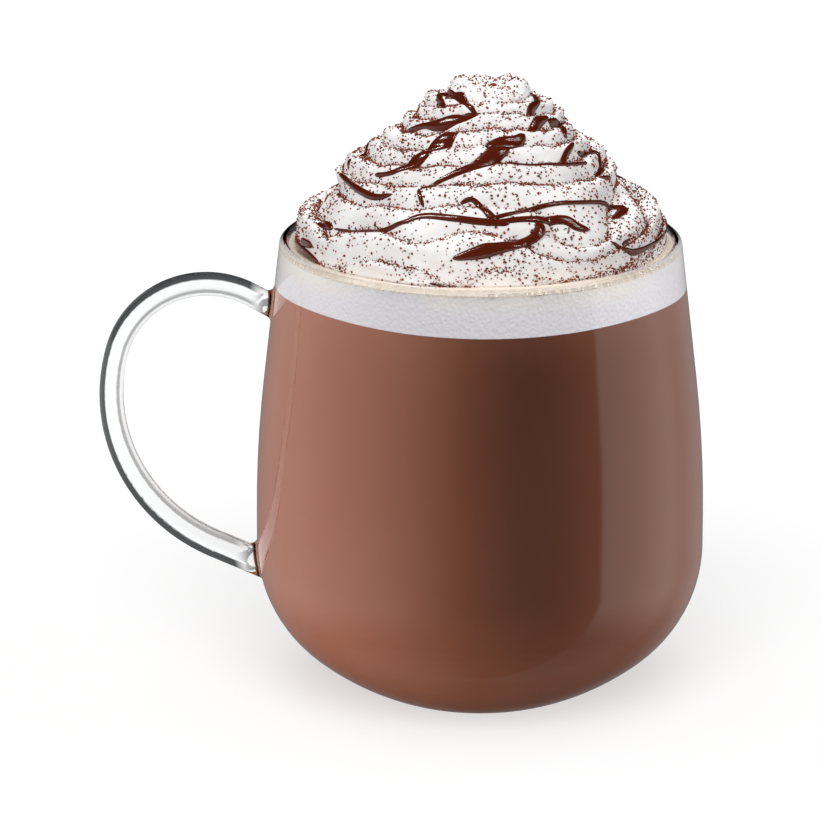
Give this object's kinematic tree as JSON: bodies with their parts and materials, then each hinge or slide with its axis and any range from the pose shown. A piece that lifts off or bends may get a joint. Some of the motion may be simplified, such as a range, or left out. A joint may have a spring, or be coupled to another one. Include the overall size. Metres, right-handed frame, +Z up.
{
  "type": "latte with whipped cream in a clear glass mug",
  "caption": "Clear barrel-shaped glass mug of milky chocolate-brown coffee with a layer of milk foam and a tall piped heap of whipped cream, dusted with cocoa and drizzled with chocolate sauce.",
  "frame": {"origin": "middle of the mug's round foot, on the plane it stands on", "axes": "+Z up along the mug's axis, the handle points to -X, the viewer looks along +Y"},
  "size_m": [0.1214, 0.09, 0.1264],
  "materials": {
    "clear_glass": "gloss",
    "milky_coffee": "satin",
    "milk_foam": "satin",
    "whipped_cream": "satin",
    "chocolate_sauce": "gloss",
    "cocoa": "matte"
  },
  "bodies": {
    "root": {"mug": "clear_glass", "drink": "milky_coffee", "milk_foam": "milk_foam", "whipped_cream": "whipped_cream"}
  },
  "joints": []
}
